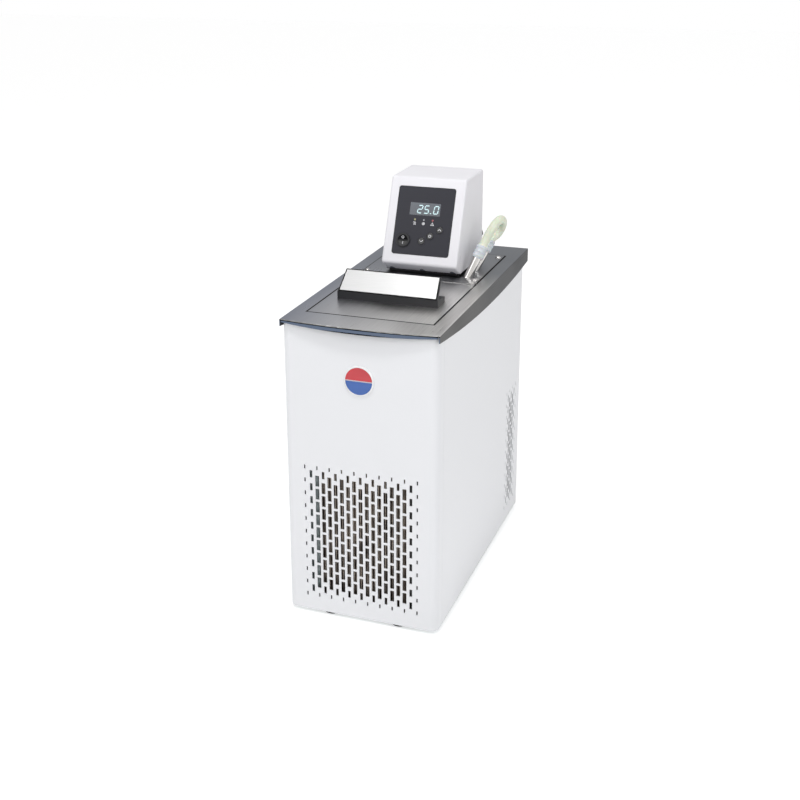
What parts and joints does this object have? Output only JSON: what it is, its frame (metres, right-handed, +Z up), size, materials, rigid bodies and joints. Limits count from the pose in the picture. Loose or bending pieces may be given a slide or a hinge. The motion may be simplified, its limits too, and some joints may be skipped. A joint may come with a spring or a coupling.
{
  "type": "refrigerated circulator",
  "caption": "Bench-top refrigerated circulator: tall cabinet with slotted grille, bowed stainless deck, lift-off bath lid, leaning control head and bypass hose",
  "frame": {"origin": "on the floor, under the middle of the overall box", "axes": "+Z up, the front panel and the control head face -Y, the pump nozzles are on +X"},
  "size_m": [0.235, 0.4925, 0.604],
  "materials": {
    "stainless": "brushed stainless sheet",
    "bright_steel": "bright stainless",
    "cabinet_paint": "fine smooth powder coat",
    "zinc_steel": "zinc-plated sheet",
    "rubber": "moulded rubber",
    "head_plastic": "light grey moulding",
    "black_plastic": "black moulding",
    "panel_sheet": "dark grey sheet",
    "gloss_black": "gloss black",
    "window": "tinted window",
    "badge_white": "white enamel",
    "badge_red": "red enamel",
    "badge_blue": "blue enamel",
    "board": "circuit board",
    "motor_steel": "dark painted steel",
    "hose": "translucent silicone hose",
    "float_plastic": "white moulding",
    "foam": "rigid foam",
    "aluminium": "bare fins",
    "copper": "copper tube",
    "brass": "plated brass"
  },
  "bodies": {
    "cabinet": {"deck": "stainless", "bridge_plate": "stainless", "bath_tank": "stainless", "plate_screws": "bright_steel", "nozzle_front": "bright_steel", "nozzle_rear": "bright_steel", "pump_riser": "bright_steel", "heater": "bright_steel", "temperature_probe": "bright_steel", "float_rod": "bright_steel", "front_panel": "cabinet_paint", "side_panel_right": "cabinet_paint", "side_panel_left": "cabinet_paint", "rear_panel": "cabinet_paint", "base_pan": "zinc_steel", "condenser_frame": "zinc_steel", "fan_shroud": "zinc_steel", "feet": "rubber", "compressor_mounts": "rubber", "head_cover": "head_plastic", "head_base": "black_plastic", "switch_bezel": "black_plastic", "pump_column": "black_plastic", "pump_housing": "black_plastic", "terminal_cover": "black_plastic", "mains_inlet": "black_plastic", "socket_hood": "black_plastic", "control_panel": "panel_sheet", "display_window": "window", "lamp_lenses": "window", "badge_plate": "badge_white", "badge_hot": "badge_red", "badge_cold": "badge_blue", "control_board": "board", "pump_motor": "motor_steel", "fan_motor": "motor_steel", "compressor": "motor_steel", "bypass_hose": "hose", "bath_jacket": "foam", "condenser": "aluminium", "discharge_pipe": "copper", "liquid_pipe": "copper", "suction_pipe": "copper", "filter_drier": "copper", "drain_cock": "brass", "drain_elbow": "brass"},
    "lid": {"lid_plate": "stainless", "lid_handle": "black_plastic", "handle_face": "bright_steel", "handle_screws": "bright_steel"},
    "power_rocker": {"switch_rocker": "gloss_black"},
    "down_key": {"key_down": "black_plastic"},
    "enter_key": {"key_enter": "black_plastic"},
    "up_key": {"key_up": "black_plastic"},
    "fan": {"fan_rotor": "black_plastic"},
    "pump_rotor": {"pump_shaft": "bright_steel", "impeller": "black_plastic"},
    "float": {"level_float": "float_plastic"},
    "drain_plug": {"drain_lever": "black_plastic"}
  },
  "joints": [
    {"name": "lid_lift", "type": "slide", "parent": "cabinet", "child": "lid", "axis": [0, 0, 1], "range_m": [0, 0.12]},
    {"name": "power_switch", "type": "hinge", "parent": "cabinet", "child": "power_rocker", "pos_m": [-0.0294, 0.03509, 0.51194], "axis": [1, 0, 0], "range_deg": [-22, 0]},
    {"name": "down_press", "type": "slide", "parent": "cabinet", "child": "down_key", "axis": [0, 0.9236, -0.3833], "range_m": [0, 0.001], "stiffness_N_per_m": 300, "springref_m": -0.001},
    {"name": "enter_press", "type": "slide", "parent": "cabinet", "child": "enter_key", "axis": [0, 0.9236, -0.3833], "range_m": [0, 0.001], "stiffness_N_per_m": 300, "springref_m": -0.001},
    {"name": "up_press", "type": "slide", "parent": "cabinet", "child": "up_key", "axis": [0, 0.9236, -0.3833], "range_m": [0, 0.001], "stiffness_N_per_m": 300, "springref_m": -0.001},
    {"name": "fan_spin", "type": "hinge", "parent": "cabinet", "child": "fan", "pos_m": [0, -0.16875, 0.1265], "axis": [0, 1, 0], "continuous": true},
    {"name": "pump_spin", "type": "hinge", "parent": "cabinet", "child": "pump_rotor", "pos_m": [0, 0.11275, 0.42], "axis": [0, 0, 1], "continuous": true},
    {"name": "float_rise", "type": "slide", "parent": "cabinet", "child": "float", "axis": [0, 0, 1], "range_m": [0, 0.02]},
    {"name": "drain_turn", "type": "hinge", "parent": "cabinet", "child": "drain_plug", "pos_m": [0.04, 0.22775, 0.2508], "axis": [0, 0, 1], "range_deg": [0, 90]}
  ]
}
